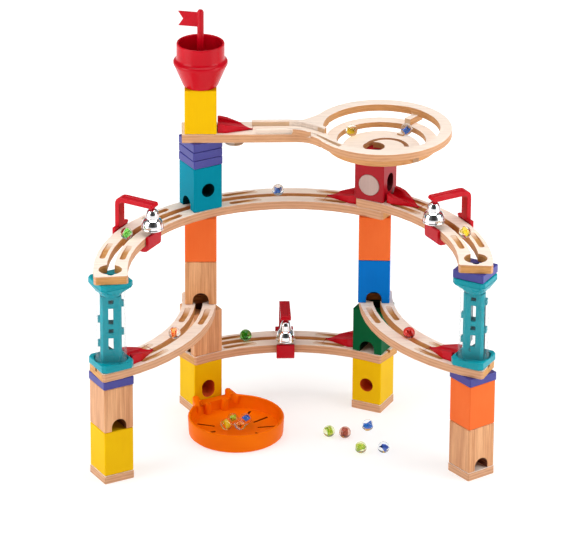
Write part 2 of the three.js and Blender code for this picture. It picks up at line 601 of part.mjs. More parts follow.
// Back right tower
add(towers.c, "c_base_plate", plate(BASE), finishes.plywood, level(0, 0), YAW_C);
add(towers.c, "c_yellow_block", plainBlock().subtract(levelHole("front")), finishes.yellow, level(0, 1), YAW_C);
const greenBlock = cut(archBlock("front"), bore(SIDE_HOLE.z), sideHole("left"));
add(towers.c, "c_green_block", greenBlock, finishes.green, level(1, 2), YAW_C);
add(towers.c, "c_blue_block", archBlock("front"), finishes.blue, level(2, 3), YAW_C_MID);
add(towers.c, "c_orange_block", plainBlock(), finishes.orange, level(3, 3), YAW_C_MID);
const roundelR = 14.6;
const roundelHole = bar(roundelR + GAP, [0, -BLOCK / 2 - 1, 22.5], [0, -BLOCK / 2 + 3.3, 22.5], 32);
const redBlock = cut(plainBlock(), bore(SIDE_HOLE.z), sideHole("left"), sideHole("right"), roundelHole);
add(towers.c, "c_red_block", redBlock, finishes.red, level(4, 5), YAW_C);
const roundel = bar(roundelR, [0, -BLOCK / 2 - 0.6, 22.5], [0, -BLOCK / 2 + 3, 22.5], 32);
add(towers.c, "c_roundel", roundel, finishes.wood, level(4, 5), YAW_C);

// Front right tower
add(towers.d, "d_base_plate", plate(BASE), finishes.plywood, level(0, 0), YAW_D_LOW);
add(towers.d, "d_wood_block", archBlock("front"), finishes.wood, level(0, 1), YAW_D_LOW);
add(towers.d, "d_orange_block", plainBlock(), finishes.orange, level(1, 1), YAW_D_LOW);
add(towers.d, "d_indigo_spacer_lower", plate(SPACER), finishes.indigo, level(2, 1), YAW_D_LOW);
buildDropTower(towers.d, "d", level(2, 3), YAW_D_TOP, -16, 174);
const holedPlate = cut(plate(SPACER), bar(12, [0, 0, -1], [0, 0, PLATE], 24));
add(towers.d, "d_indigo_spacer_upper", holedPlate, finishes.indigo, level(4, 3), YAW_D_TOP);

// Rails, by the centre of their arc
const railCentres = {
  ring: [0, 0],
  left: [-1.5 * RING, halfRoot3 * RING],
  right: [1.5 * RING, halfRoot3 * RING],
};
function addRail(name, centre, z, options) {
  const [x, y] = railCentres[centre];
  add(run, name, rail(options), finishes.plywood, z, 0, x, y);
}
const longPockets = [[60, 43, 82], [120, -43, -82], [120, 43, 82], [180, -36, -76]];
addRail("rail_upper_long", "ring", level(4, 3),
  { from: 60, to: 180, ends: ["plain", "hole"], pockets: longPockets });
addRail("rail_upper_right", "ring", level(4, 4),
  { from: 0, to: 60, ends: ["hole", "plain"], pockets: [[0, 36, 76], [60, -34, -80]] });
addRail("rail_lower_middle", "ring", level(1, 1),
  { from: 60, to: 120, ends: ["notch", "hole"], pockets: [[60, 43, 82], [120, -34, -76]] });
addRail("rail_lower_left", "left", level(2, 2),
  { from: -60, to: 0, ends: ["notch", "hole"], pockets: [[-60, 40, 80], [0, -76, -34]] });
addRail("rail_lower_right", "right", level(2, 2),
  { from: 180, to: 240, ends: ["hole", "notch"], pockets: [[180, 76, 34], [240, -40, -80]] });

// Spiral
add(towers.c, "spiral_track", spiralTrack(), finishes.plywood, level(5, 8) - GAP);
add(towers.c, "spiral_disc", spiralDisc(), finishes.plywood, level(5, 8) - GAP);

// Ramps: each sits on a rail beside a block, turned to follow the rail
function addRamp(name, centre, angle, sense, z, face, away) {
  const [cx, cy] = railCentres[centre];
  const at = onArc(RING, angle + sense * alongArc(away));
  const heading = angle + sense * alongArc(away + RAMP.long / 2) + sense * 90;
  add(run, name, ramp(face - heading), finishes.redPlastic, z, heading, cx + at.x, cy + at.y);
}
const onBlock = BLOCK / 2 + 1;
const onFlange = DROP_TOWER.flange / 2 + 1.4;
addRamp("ramp_drop_left", "left", -60, 1, level(2, 3), YAW_A, onFlange);
addRamp("ramp_drop_right", "right", 240, -1, level(2, 3), 180 + YAW_D_TOP, onFlange);
addRamp("ramp_green", "ring", 60, 1, level(1, 2), 180 + YAW_C, onBlock + INSET);
const railEnd = RAIL_WIDE / 2;
addRamp("ramp_red_left", "ring", 60, 1, level(4, 4), 150 + alongArc(railEnd), railEnd + 5 * GAP);
addRamp("ramp_red_right", "ring", 60, -1, level(4, 5), YAW_C, onBlock);
add(towers.b, "ramp_spiral", ramp(3), finishes.redPlastic, level(5, 8), -4, BLOCK / 2 + 1.2, -1.5);

// Bells and marbles
const railLevels = { upper: level(4, 4), upperRight: level(4, 5), middle: level(1, 2), lower: level(2, 3) };
function addBell(name, angle, railZ, clipWide, girth) {
  const at = onArc(RING, angle);
  add(run, `bell_arm_${name}`, bellClip(clipWide), finishes.redPlastic, railZ, angle, at.x, at.y);
  const hang = onArc(RING - BELL.inward, angle);
  const hangZ = railZ + BELL.lift + BELL.tall - 3 * GAP;
  add(run, `bell_${name}`, bell(girth), finishes.chrome, hangZ, angle, hang.x, hang.y);
}
addBell("left", 148.5, railLevels.upper - GAP, 33, 1);
addBell("right", 28, railLevels.upperRight - GAP, 33, 1);
addBell("middle", 90.5, railLevels.middle - GAP, 24, 0.86);

const sink = MARBLE - Math.sqrt(MARBLE ** 2 - (SLOT / 2) ** 2);
function addMarble(name, centre, angle, railZ, color) {
  const [cx, cy] = railCentres[centre];
  const at = onArc(RING, angle);
  const ball = solidOf(new THREE.IcosahedronGeometry(MARBLE - 0.05, 2));
  const glass = glassy(`${name}_glass`, color, 0.6);
  add(run, name, ball, glass, railZ + MARBLE - sink + GAP, 0, cx + at.x, cy + at.y);
}
addMarble("marble_green_upper", "ring", 155.5, railLevels.upper, 0x40b040);
addMarble("marble_blue", "ring", 93, railLevels.upper, 0x2060c0);
addMarble("marble_yellow", "ring", 16.5, railLevels.upperRight, 0xd8c800);
addMarble("marble_green_lower", "ring", 103.5, railLevels.middle, 0x58b030);
addMarble("marble_red_left", "left", -31.5, railLevels.lower, 0xc83020);
addMarble("marble_red_right", "right", 213, railLevels.lower, 0xc02828);

// Catch tray: its neck meets the front face of the back left tower
const trayPlace = new THREE.Group();
trayPlace.rotation.z = radians(YAW_B);
towers.b.add(trayPlace);
add(trayPlace, "tray", tray(), finishes.orangePlastic, 0, 0, TRAY.aside, -(BASE / 2 + TRAY.r + 7 + 2 * GAP));

// The origin is the middle of the footprint, on the surface that the run stands on.
const bounds = new THREE.Box3().setFromObject(run, true);
run.position.set(-(bounds.min.x + bounds.max.x) / 2, -(bounds.min.y + bounds.max.y) / 2, -bounds.min.z);

const model = new THREE.Group();
model.add(run);
export default model;
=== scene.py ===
import json
import math
import random
import bmesh
import bpy
from mathutils import Matrix, Vector


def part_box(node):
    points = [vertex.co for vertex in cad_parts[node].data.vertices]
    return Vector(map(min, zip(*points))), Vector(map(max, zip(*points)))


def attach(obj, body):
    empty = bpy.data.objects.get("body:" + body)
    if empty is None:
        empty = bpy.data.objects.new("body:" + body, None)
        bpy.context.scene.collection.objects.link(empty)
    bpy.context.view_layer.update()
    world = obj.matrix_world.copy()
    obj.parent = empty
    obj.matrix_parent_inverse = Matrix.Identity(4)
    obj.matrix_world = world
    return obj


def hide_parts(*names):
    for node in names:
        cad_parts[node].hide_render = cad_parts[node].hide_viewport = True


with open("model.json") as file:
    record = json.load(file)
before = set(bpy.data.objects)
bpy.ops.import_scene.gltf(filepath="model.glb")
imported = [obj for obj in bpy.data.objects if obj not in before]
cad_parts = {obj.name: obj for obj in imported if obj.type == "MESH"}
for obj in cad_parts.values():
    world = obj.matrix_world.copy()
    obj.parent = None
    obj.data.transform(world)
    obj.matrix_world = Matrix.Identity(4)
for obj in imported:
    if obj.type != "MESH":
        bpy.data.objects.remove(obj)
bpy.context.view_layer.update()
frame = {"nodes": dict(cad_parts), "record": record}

MM = 0.001
scene = bpy.context.scene
nodes = frame["nodes"]
slot_of = {part["node"]: part["material_slot"] for part in frame["record"]["subparts"]}
body_of = {node: body for body, members in frame["record"]["behaviour"]["bodies"].items() for node in members}


def box_ends(node):
    lo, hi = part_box(node)
    return Vector(lo), Vector(hi)


def middle(node):
    lo, hi = box_ends(node)
    return (lo + hi) / 2


# The rails' circle is centred between the two front towers, on the floor.
ring_centre = (middle("a_base_plate") + middle("d_base_plate")) / 2
ring_centre.z = 0.0


def linear(r, g, b):
    """A colour given as display values from 0 to 255, in linear light."""
    shares = [c / 255 for c in (r, g, b)]
    return tuple(((s + 0.055) / 1.055) ** 2.4 if s > 10 / 255 else s / 12.92 for s in shares) + (1.0,)


def lighter(colour, amount):
    """A display colour made lighter by an amount from 0 to 255, or darker if it is negative."""
    return linear(*(min(255, c + amount) for c in colour))


# ---------------------------------------------------------------- materials
class Nodes:
    """A small helper for building a material's node tree."""

    def __init__(self, name):
        self.material = bpy.data.materials.new(name)
        self.material.use_nodes = True
        self.tree = self.material.node_tree
        self.tree.nodes.clear()
        self.out = self.tree.nodes.new("ShaderNodeOutputMaterial")
        self.shader = self.tree.nodes.new("ShaderNodeBsdfPrincipled")
        self.link(self.shader.outputs["BSDF"], self.out.inputs["Surface"])
        coords = self.tree.nodes.new("ShaderNodeTexCoord")
        self.place, self.normal = coords.outputs["Object"], coords.outputs["Normal"]

    def link(self, start, end):
        self.tree.links.new(start, end)

    def set(self, **values):
        for key, value in values.items():
            self.shader.inputs[key.replace("_", " ")].default_value = value
        return self

    def scaled(self, scale, turn):
        node = self.tree.nodes.new("ShaderNodeMapping")
        node.inputs["Scale"].default_value = scale
        node.inputs["Rotation"].default_value = turn
        self.link(self.place, node.inputs["Vector"])
        return node.outputs[0]

    def noise(self, scale, detail=3.0, roughness=0.55, turn=(0, 0, 0), distortion=0.0):
        node = self.tree.nodes.new("ShaderNodeTexNoise")
        self.link(self.scaled(scale, turn), node.inputs["Vector"])
        node.inputs["Scale"].default_value = 1.0
        node.inputs["Detail"].default_value = detail
        node.inputs["Roughness"].default_value = roughness
        node.inputs["Distortion"].default_value = distortion
        return node.outputs["Fac"]

    def math(self, operation, a, b=0.0, clamp=False):
        node = self.tree.nodes.new("ShaderNodeMath")
        node.operation = operation
        node.use_clamp = clamp
        for socket, value in zip(node.inputs, (a, b)):
            if isinstance(value, (int, float)):
                socket.default_value = value
            else:
                self.link(value, socket)
        return node.outputs[0]

    def ramp(self, factor, *stops):
        node = self.tree.nodes.new("ShaderNodeValToRGB")
        while len(node.color_ramp.elements) < len(stops):
            node.color_ramp.elements.new(0.5)
        for element, (position, colour) in zip(node.color_ramp.elements, stops):
            element.position = position
            element.color = colour
        self.link(factor, node.inputs[0])
        return node.outputs[0]

    def mix(self, factor, a, b):
        node = self.tree.nodes.new("ShaderNodeMix")
        node.data_type = "RGBA"
        for name, value in (("Factor", factor), ("A", a), ("B", b)):
            sockets = [s for s in node.inputs if s.name == name and s.enabled]
            if isinstance(value, (int, float, tuple)):
                sockets[0].default_value = value
            else:
                self.link(value, sockets[0])
        return [s for s in node.outputs if s.enabled][0]

    def part(self, vector, axis):
        node = self.tree.nodes.new("ShaderNodeSeparateXYZ")
        self.link(vector, node.inputs[0])
        return node.outputs[axis]

    def attribute(self, name):
        node = self.tree.nodes.new("ShaderNodeAttribute")
        node.attribute_name = name
        return node.outputs["Fac"]

    def colour(self, source):
        self.link(source, self.shader.inputs["Base Color"])

    def roughness(self, source, low, high):
        node = self.tree.nodes.new("ShaderNodeMapRange")
        node.inputs["To Min"].default_value = low
        node.inputs["To Max"].default_value = high
        self.link(source, node.inputs["Value"])
        self.link(node.outputs[0], self.shader.inputs["Roughness"])

    def bump(self, height, distance, strength=0.5):
        node = self.tree.nodes.new("ShaderNodeBump")
        node.inputs["Strength"].default_value = strength
        node.inputs["Distance"].default_value = distance
        self.link(height, node.inputs["Height"])
        self.link(node.outputs[0], self.shader.inputs["Normal"])


def plywood(name="plywood_look", top=(251, 235, 221), edge=(207, 159, 122), dark=(184, 131, 94)):
    """Pale sanded faces above and below, and brown edges that show the plies."""
    n = Nodes(name)
    facing = n.math("ABSOLUTE", n.part(n.normal, "Z"))
    flat = n.math("MULTIPLY", n.math("SUBTRACT", facing, 0.62), 6.0, clamp=True)
    grain = n.noise((22, 420, 60), detail=5, roughness=0.6, turn=(0, 0, 0.35), distortion=0.3)
    tint = n.noise((9, 14, 9), detail=2)
    face = n.ramp(grain, (0.3, lighter(top, -17)), (0.55, linear(*top)), (0.75, lighter(top, 6)))
    face = n.mix(n.math("MULTIPLY", tint, 0.14), face, linear(232, 205, 170))
    height = n.math("MULTIPLY", n.part(n.place, "Z"), 2 * math.pi / 0.0042)
    wobble = n.math("MULTIPLY", n.noise((40, 40, 260), detail=2), 1.6)
    plies = n.math("ADD", n.math("MULTIPLY", n.math("SINE", n.math("ADD", height, wobble)), 0.5), 0.5)
    streak = n.noise((55, 55, 900), detail=4, roughness=0.6)
    layered = n.math("ADD", n.math("MULTIPLY", plies, 0.28), n.math("MULTIPLY", streak, 0.72))
    side = n.ramp(layered, (0.2, linear(*dark)), (0.5, linear(*edge)), (0.85, lighter(edge, 14)))
    # the walls and floors of the cuts turn golden brown with depth
    brown = n.ramp(streak, (0.25, linear(178, 124, 66)), (0.75, linear(222, 168, 104)))
    deepness = n.math("MULTIPLY", n.attribute("depth"), 0.45, clamp=True)
    amount = n.math("MULTIPLY", n.attribute("cut"), deepness)
    n.colour(n.mix(amount, n.mix(flat, side, face), brown))
    n.roughness(grain, 0.42, 0.58)
    n.bump(n.math("ADD", n.math("MULTIPLY", plies, 0.4), grain), 0.00018, 0.35)
    return n.set(Specular_IOR_Level=0.2).material


def bare_wood(name="wood_look", light=(230, 174, 122), dark=(186, 120, 68)):
    """Lacquered beech with upright grain, fine pores and a few darker bands."""
    n = Nodes(name)
    bands = n.noise((70, 70, 5), detail=3, roughness=0.5, distortion=0.6)
    grain = n.noise((620, 620, 17), detail=6, roughness=0.65, distortion=0.2)
    fleck = n.noise((1500, 1500, 130), detail=2)
    tone = n.math("ADD", n.math("MULTIPLY", bands, 0.4), n.math("MULTIPLY", grain, 0.6))
    between = [(a + b) / 2 for a, b in zip(light, dark)]
    base = n.ramp(tone, (0.38, linear(*dark)), (0.5, linear(*between)), (0.62, linear(*light)))
    spots = n.math("MULTIPLY", n.math("SUBTRACT", fleck, 0.62), 5.0, clamp=True)
    base = n.mix(n.math("MULTIPLY", spots, 0.5), base, linear(160, 106, 62))
    # bore faces (the cut mask) get painted shade, a dark brown (104, 52, 28)
    n.colour(n.mix(n.attribute("cut"), base, linear(104, 52, 28)))
    n.roughness(grain, 0.4, 0.55)
    n.bump(grain, 0.0002, 0.35)
    return n.set(Specular_IOR_Level=0.4, Coat_Weight=0.45, Coat_Roughness=0.3).material


def painted(name, colour, deep, gloss=0.38, shine=0.06, coat=0.0, inside=None):
    """Satin lacquer over wood: slight changes of tone, and the grain just felt through it."""
    n = Nodes(name)
    cloud = n.noise((26, 26, 16), detail=3)
    grain = n.noise((700, 700, 30), detail=4, roughness=0.6)
    tone = n.math("ADD", n.math("MULTIPLY", cloud, 0.7), n.math("MULTIPLY", grain, 0.3))
    # bore faces (the cut mask) get painted shade, a dark copy of the paint at 0.42 of its deep tone; where an
    # inside colour is given, that colour of the bare bore is used instead
    bore_tone_and_shade = linear(*(inside or (c * 0.42 for c in deep)))
    n.colour(n.mix(n.attribute("cut"), n.ramp(tone, (0.32, linear(*deep)), (0.66, linear(*colour))), bore_tone_and_shade))
    n.roughness(grain, gloss, gloss + 0.12)
    n.bump(grain, 0.00012, 0.3)
    return n.set(Specular_IOR_Level=shine, Coat_Weight=coat, Coat_Roughness=0.3).material


def plastic(name, colour, deep, gloss=0.24, shine=0.2):
    """Moulded plastic with a fine texture and faint flow marks."""
    n = Nodes(name)
    flow = n.noise((16, 16, 16), detail=2, distortion=0.8)
    skin = n.noise((2600, 2600, 2600), detail=2)
    skin_colour = n.ramp(flow, (0.35, linear(*deep)), (0.65, linear(*colour)))
    # groove faces (the cut mask) get painted shade, a dark copy of the plastic at 0.6 of its deep tone
    n.colour(n.mix(n.attribute("cut"), skin_colour, linear(*(c * 0.6 for c in deep))))
    n.roughness(flow, gloss, gloss + 0.08)
    n.bump(skin, 0.00003, 0.25)
    return n.set(Specular_IOR_Level=shine).material


def chrome():
    n = Nodes("chrome_look")
    smear = n.noise((60, 60, 60), detail=4)
    n.colour(n.ramp(smear, (0.3, (0.74, 0.74, 0.76, 1)), (0.7, (0.86, 0.86, 0.87, 1))))
    n.roughness(smear, 0.03, 0.09)
    return n.set(Metallic=1.0).material


def clear_tube():
    n = Nodes("clear_look")
    haze = n.noise((90, 90, 30), detail=3)
    rim = n.tree.nodes.new("ShaderNodeLayerWeight")
    rim.inputs["Blend"].default_value = 0.35
    n.colour(n.ramp(haze, (0.3, linear(196, 206, 210)), (0.7, linear(216, 224, 228))))
    edge = n.math("POWER", rim.outputs["Facing"], 3.5)
    n.link(n.math("ADD", n.math("MULTIPLY", edge, 0.8), 0.015), n.shader.inputs["Alpha"])
    n.roughness(haze, 0.03, 0.08)
    return n.set(IOR=1.46, Specular_IOR_Level=0.8).material


def marble_glass(name, tint):
    n = Nodes(name)
    bubbles = n.noise((900, 900, 900), detail=2)
    n.colour(n.ramp(bubbles, (0.35, linear(*tint)), (0.65, lighter(tint, 14))))
    n.roughness(bubbles, 0.0, 0.03)
    n.set(Transmission_Weight=1.0, IOR=1.45)
    # light passes straight through to what lies under the marble
    path = n.tree.nodes.new("ShaderNodeLightPath")
    clear = n.tree.nodes.new("ShaderNodeBsdfTransparent")
    clear.inputs["Color"].default_value = linear(*tint)
    both = n.tree.nodes.new("ShaderNodeMixShader")
    n.link(path.outputs["Is Shadow Ray"], both.inputs[0])
    n.link(n.shader.outputs["BSDF"], both.inputs[1])
    n.link(clear.outputs[0], both.inputs[2])
    n.link(both.outputs[0], n.out.inputs["Surface"])
    return n.material


def marble_core(name, colour, second):
    n = Nodes(name)
    swirl = n.noise((330, 330, 160), detail=3, distortion=1.5)
    n.colour(n.ramp(swirl, (0.42, linear(*colour)), (0.56, linear(*second))))
    n.roughness(swirl, 0.2, 0.35)
    return n.material


looks = {
    "plywood": plywood(),
    "wood": bare_wood(),
    "yellow": painted("yellow_look", (234, 190, 0), (228, 180, 0), inside=(206, 86, 34)),
    "orange": painted("orange_look", (238, 114, 54), (233, 105, 46)),
    "blue": painted("blue_look", (0, 116, 204), (0, 108, 194)),
    "green": painted("green_look", (0, 92, 52), (0, 84, 46)),
    "teal": painted("teal_look", (0, 140, 165), (0, 132, 156), shine=0.03),
    "indigo": painted("indigo_look", (60, 60, 146), (52, 51, 134), shine=0.3, coat=0.3),
    "red": painted("red_look", (164, 2, 24), (156, 1, 21), shine=0.16, coat=0.16),
    "red_plastic": plastic("red_plastic_look", (194, 3, 28), (186, 1, 24), 0.2, 0.18),
    "teal_plastic": plastic("teal_plastic_look", (0, 152, 166), (0, 144, 158)),
    "orange_plastic": plastic("orange_plastic_look", (247, 118, 0), (241, 107, 0), 0.36, 0.05),
    "clear": clear_tube(),
    "chrome": chrome(),
}
roundel_look = bare_wood("roundel_look", light=(186, 160, 152), dark=(166, 140, 132))


# ---------------------------------------------------------------- pieces
def piece(name, mesh, body, slot, look, *replaced):
    obj = bpy.data.objects.new(name, mesh)
    scene.collection.objects.link(obj)
    mesh.materials.clear()
    mesh.materials.append(look)
    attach(obj, body)
    if replaced:
        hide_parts(*replaced)
    return obj


def soften(obj, width, segments=2, angle=40):
    """Rounded edges and smooth shading between faces that meet at a shallow angle."""
    for polygon in obj.data.polygons:
        polygon.use_smooth = True
    obj.data.set_sharp_from_angle(angle=math.radians(angle + 14))
    if width:
        bevel = obj.modifiers.new("edges", "BEVEL")
        bevel.width = width * MM
        bevel.segments = segments
        bevel.limit_method = "ANGLE"
        bevel.angle_limit = math.radians(angle)
        bevel.use_clamp_overlap = False
    weighted = obj.modifiers.new("shading", "WEIGHTED_NORMAL")
    weighted.keep_sharp = True
    weighted.weight = 80
    return obj


RAIL_RADIUS = 234.5 * MM
RAIL_WIDE = 44.4 * MM
side_centre = Vector((1.5, math.sqrt(0.75), 0)) * RAIL_RADIUS
rail_centres = {
    "rail_upper_long": ring_centre,
    "rail_upper_right": ring_centre,
    "rail_lower_middle": ring_centre,
    "rail_lower_left": ring_centre + Vector((-side_centre.x, side_centre.y, 0)),
    "rail_lower_right": ring_centre + side_centre,
}
SPIRAL_RIM = 92.5 * MM
spiral_centre = box_ends("spiral_track")[1] - Vector((SPIRAL_RIM, SPIRAL_RIM, 0))
TRAY_RADIUS = 64 * MM
tray_centre = box_ends("tray")[0] + Vector((TRAY_RADIUS, TRAY_RADIUS, 0))
BLOCK_SKIN = 19.5 * MM  # a block's outer faces lie further than this from its middle
RAIL_SKIN = 1.6 * MM  # a rail's sides, sagging between their points, stay within this of the true arc


def mark_cuts(work, node):
    """Marks the faces of slots, pockets, bores and sawn ends, and how far each point lies below the top."""
    cut = work.faces.layers.float.new("cut")
    depth = work.verts.layers.float.new("depth")
    matrix = nodes[node].matrix_world
    centre = middle(node)
    lo, hi = box_ends(node)
    for vert in work.verts:
        vert[depth] = max(0.0, hi.z - (matrix @ vert.co).z) / MM
    for face in work.faces:
        at = matrix @ face.calc_center_median()
        normal = (matrix.to_3x3() @ face.normal).normalized()
        if node in rail_centres:
            arc = rail_centres[node]
            off = abs(math.hypot(at.x - arc.x, at.y - arc.y) - RAIL_RADIUS)
            flat = at.z > hi.z - 0.2 * MM or at.z < lo.z + 0.2 * MM
            on_skin = flat or off > RAIL_WIDE / 2 - RAIL_SKIN
            face[cut] = 0.0 if on_skin else 1.0
        elif node.startswith("spiral"):
            arm = at - spiral_centre
            outermost = math.hypot(arm.x, arm.y) > SPIRAL_RIM - 4 * MM
            on_rim = outermost and arm.x * normal.x + arm.y * normal.y > 0
            upright = 0.2 if on_rim else 0.75
            face[cut] = 0.0 if abs(normal.z) > 0.5 else upright
        elif node == "tray":
            out = math.hypot(at.x - tray_centre.x, at.y - tray_centre.y)
            in_groove = 28 * MM < out < 53 * MM and 2 * MM < at.z - lo.z < 6.3 * MM
            # groove faces get the cut mask, which the plastic look fills with painted shade
            face[cut] = 1.0 if in_groove else 0.0
        elif "block" in node:
            # a block's inner faces get the cut mask, which the paint and wood looks fill with painted shade
            face[cut] = 0.0 if (at - centre).dot(normal) > BLOCK_SKIN else 1.0


def dressed(node, width=0.35, segments=2, angle=40):
    """A finished copy of a CAD node: its flat faces made whole again, its edges rounded."""
    mesh = nodes[node].data.copy()
    work = bmesh.new()
    work.from_mesh(mesh)
    bmesh.ops.remove_doubles(work, verts=work.verts, dist=2e-6)
    bmesh.ops.dissolve_limit(work, angle_limit=math.radians(1.0), verts=work.verts, edges=work.edges)
    bmesh.ops.recalc_face_normals(work, faces=work.faces)
    mark_cuts(work, node)
    work.to_mesh(mesh)
    work.free()
    slot = slot_of[node]
    look = roundel_look if node == "c_roundel" else looks[slot]
    obj = piece(node + "_look", mesh, body_of[node], slot, look, node)
    return soften(obj, width, segments, angle)


def mesh_from(name, verts, faces, matrix=Matrix.Identity(4)):
    mesh = bpy.data.meshes.new(name)
    mesh.from_pydata([matrix @ (Vector(v) * MM) for v in verts], [], faces)
    mesh.validate()
    work = bmesh.new()
    work.from_mesh(mesh)
    bmesh.ops.remove_doubles(work, verts=work.verts, dist=1e-7)
    bmesh.ops.recalc_face_normals(work, faces=work.faces)
    work.to_mesh(mesh)
    work.free()
    return mesh


def smooth_line(points, steps=5):
    """A curve through [radius, height] points; a point given twice stays a corner."""
    line = []
    for i in range(len(points) - 1):
        p0 = Vector(points[max(i - 1, 0)])
        p1, p2 = Vector(points[i]), Vector(points[i + 1])
        p3 = Vector(points[min(i + 2, len(points) - 1)])
        if (p2 - p1).length < 1e-6:
            continue
        for k in range(steps):
            t = k / steps
            line.append(0.5 * (2 * p1 + (p2 - p0) * t + (2 * p0 - 5 * p1 + 4 * p2 - p3) * t * t
                               + (3 * p1 - p0 - 3 * p2 + p3) * t ** 3))
    line.append(Vector(points[-1]))
    return line


def lathe(name, profile, matrix, sides=72):
    """A closed skin turned about Z from a profile whose ends lie on the axis or meet each other."""
    verts, faces = [], []
    for point in profile:
        for k in range(sides):
            a = 2 * math.pi * k / sides
            verts.append((max(point[0], 0.0) * math.cos(a), max(point[0], 0.0) * math.sin(a), point[1]))
    for i in range(len(profile) - 1):
        for k in range(sides):
            j = (k + 1) % sides
            faces.append((i * sides + k, i * sides + j, (i + 1) * sides + j, (i + 1) * sides + k))
    return mesh_from(name, verts, faces, matrix)


# ---------------------------------------------------------------- blocks, plates, rails and chutes
rebuilt = {"funnel", "a_drop_tube", "d_drop_tube", "bell_left", "bell_right", "bell_middle"}
for node in sorted(nodes):
    if node in rebuilt or node.startswith("marble"):
        continue
    if node.startswith("rail"):
        dressed(node, 0.5, 2)
    elif node.startswith("spiral"):
        dressed(node, 0.0, 1)
    elif node.startswith("bell_arm") or node == "tray":
        dressed(node, 0.7, 3, 50)
    elif node.startswith("ramp"):
        dressed(node, 0.5, 2)
    elif "drop" in node:
        dressed(node, 0.4, 2)
    else:
        dressed(node, 0.35, 2)

# ---------------------------------------------------------------- clear tubes
for tower in "ad":
    lo, hi = box_ends(tower + "_drop_tube")
    centre = (lo + hi) / 2
    tall = (hi.z - lo.z) / MM
    outer = (hi.x - lo.x) / MM / 2
    wall = 1.5
    inner = outer - wall
    section = [(inner, 0.4), (inner + 0.4, 0), (outer - 0.4, 0), (outer, 0.4), (outer, tall - 0.4),
               (outer - 0.4, tall), (inner + 0.4, tall), (inner, tall - 0.4), (inner, 0.4)]
    place = Matrix.Translation((centre.x, centre.y, lo.z))
    shape = lathe(tower + "_tube", section, place, 96)
    tube = piece(tower + "_tube_look", shape, "run", "clear", looks["clear"], tower + "_drop_tube")
    soften(tube, 0, angle=50)

# ---------------------------------------------------------------- bells
BELL_RADIUS = 15
for side in ("left", "right", "middle"):
    lo, hi = box_ends("bell_" + side)
    centre = (lo + hi) / 2
    wide = (hi.x - lo.x) / MM / 2
    tall = (hi.z - lo.z) / MM
    dome = [(0, 0), (1.4, 0), (2.6, -0.3), (3.9, -0.75), (5.9, -2.0), (7.4, -4.2), (8.3, -7.4), (8.8, -10.8)]
    skirt = [(9.0, -12.4), (8.6, -13.1), (9.6, -13.9), (11.4, -15.4), (12.9, -17.8), (14.0, -21.2)]
    lip = [(14.5, -24.8), (14.4, -26.0), (BELL_RADIUS - 0.1, -26.8), (BELL_RADIUS, -27.8)]
    outside = dome + skirt + lip + [(BELL_RADIUS - 0.2, -tall + 0.1)]
    inside = [(BELL_RADIUS - 1.0, -tall), (13.6, -25.6), (12.9, -21.8), (11.6, -18.4), (9.8, -15.8),
              (7.8, -13.6), (7.3, -9.4), (6.5, -5.6), (4.4, -2.8), (0, -2.0)]
    girth = wide / BELL_RADIUS
    place = Matrix.Translation((centre.x, centre.y, hi.z)) @ Matrix.Diagonal((girth, girth, 1, 1))
    shape = lathe("bell_" + side, smooth_line(outside, 4) + smooth_line(inside, 3), place, 72)
    bell = piece("bell_%s_look" % side, shape, "bell_" + side, "chrome", looks["chrome"], "bell_" + side)
    soften(bell, 0, angle=60)

# ---------------------------------------------------------------- funnel
lo, hi = box_ends("funnel")
funnel_place = Matrix.Translation(((lo.x + hi.x) / 2, (lo.y + hi.y) / 2, lo.z))
top = (hi.z - lo.z) / MM
wide = (hi.x - lo.x) / MM / 2
cone = [(9.8, 6), (9.8, 0.6), (10.4, 0), (22.0, 0), (22.6, 0.5), (23.2, 1.5), (34.3, 28.2)]
collar = [(wide - 0.3, 29.8), (wide, 30.8), (wide, 33.4), (wide - 0.5, 34.5), (34.0, 35.4), (32.4, 36.4)]
cup_rim = [(31.7, 37.6), (31.4, 39.4), (31.4, top - 1.6), (31.0, top - 0.5), (30.0, top), (29.0, top - 0.5)]
bowl = [(28.5, top - 1.6), (28.4, 39.6), (28.0, 37.2), (26.4, 34.6), (20, 26.8), (13.6, 19.0), (11, 15)]
throat = [(9.9, 12), (9.8, 6)]
cup_mesh = lathe("funnel_cup", cone + collar + cup_rim + bowl + throat, funnel_place, 80)
cup = piece("funnel_cup", cup_mesh, "run", "red_plastic", looks["red_plastic"], "funnel")
soften(cup, 0, angle=32)
post_profile = [(0, 7.8), (3.15, 7.8), (3.15, 29.4), (3.5, 30), (5.2, 30), (5.6, 29.6), (5.6, 3), (0, 3)]
post_mesh = lathe("funnel_post", post_profile, funnel_place, 40)
post = piece("funnel_post", post_mesh, "run", "red_plastic", looks["red_plastic"])
soften(post, 0, angle=40)
for k, angle in enumerate((60, 180, 300)):
    corners = [(4.6, 4.2), (10.6, 4.2), (10.8, 14.5), (14, 19.2), (17.8, 23.9), (4.6, 23.9)]
    verts = [(x, -1.0, z) for x, z in corners] + [(x, 1.0, z) for x, z in corners]
    count = len(corners)
    faces = [tuple(range(count)), tuple(range(2 * count - 1, count - 1, -1))]
    faces += [(i, (i + 1) % count, count + (i + 1) % count, count + i) for i in range(count)]
    turn = funnel_place @ Matrix.Rotation(math.radians(angle), 4, "Z")
    web_mesh = mesh_from("funnel_web", verts, faces, turn)
    web = piece("funnel_web_%d" % (k + 1), web_mesh, "run", "red_plastic", looks["red_plastic"])
    soften(web, 0.3)

